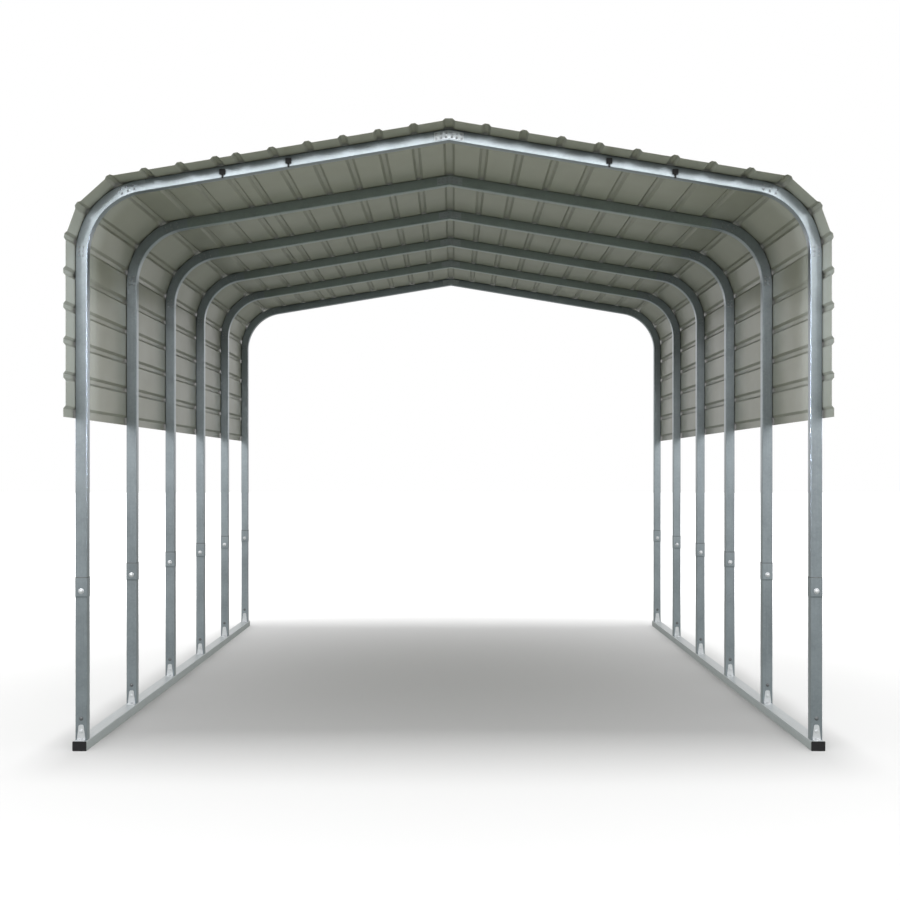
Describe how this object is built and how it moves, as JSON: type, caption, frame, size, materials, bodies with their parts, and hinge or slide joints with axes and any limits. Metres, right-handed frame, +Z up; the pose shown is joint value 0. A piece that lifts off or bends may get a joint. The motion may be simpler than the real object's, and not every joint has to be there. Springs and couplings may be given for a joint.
{
  "type": "carport",
  "caption": "Open steel carport: bent square-tube frames on two base rails carry a low ridged roof of ribbed sheets that turn down over the upper sides.",
  "frame": {"origin": "on the ground under the middle of the carport", "axes": "+X to the right seen from the front, +Y along its length from the front to the rear, +Z up"},
  "size_m": [3.6576, 6.096, 3.0287],
  "materials": {
    "galvanised_tube": "galvanised steel tube, satin, pale blue-grey",
    "galvanised_rail": "galvanised steel rail, satin, pale grey",
    "zinc_plate": "bright zinc-plated steel",
    "painted_sheet": "semi-gloss olive-grey paint on steel sheet",
    "black_plastic": "black moulded plastic"
  },
  "bodies": {
    "root": {"base_rail_left": "galvanised_rail", "foot_brackets_left": "zinc_plate", "left_roof_sheet": "painted_sheet", "left_corner_sheet": "painted_sheet", "left_side_sheet": "painted_sheet", "base_rail_right": "galvanised_rail", "foot_brackets_right": "zinc_plate", "right_roof_sheet": "painted_sheet", "right_corner_sheet": "painted_sheet", "right_side_sheet": "painted_sheet", "end_cap_front_left": "black_plastic", "end_cap_front_right": "black_plastic", "end_cap_rear_left": "black_plastic", "end_cap_rear_right": "black_plastic", "lower_posts_1": "galvanised_tube", "upper_posts_1": "galvanised_tube", "corner_bends_1": "galvanised_tube", "rafters_1": "galvanised_tube", "lower_posts_2": "galvanised_tube", "upper_posts_2": "galvanised_tube", "corner_bends_2": "galvanised_tube", "rafters_2": "galvanised_tube", "lower_posts_3": "galvanised_tube", "upper_posts_3": "galvanised_tube", "corner_bends_3": "galvanised_tube", "rafters_3": "galvanised_tube", "lower_posts_4": "galvanised_tube", "upper_posts_4": "galvanised_tube", "corner_bends_4": "galvanised_tube", "rafters_4": "galvanised_tube", "lower_posts_5": "galvanised_tube", "upper_posts_5": "galvanised_tube", "corner_bends_5": "galvanised_tube", "rafters_5": "galvanised_tube", "lower_posts_6": "galvanised_tube", "upper_posts_6": "galvanised_tube", "corner_bends_6": "galvanised_tube", "rafters_6": "galvanised_tube", "ridge_plates": "zinc_plate", "ridge_cap": "painted_sheet", "rafter_clips": "black_plastic"}
  },
  "joints": []
}
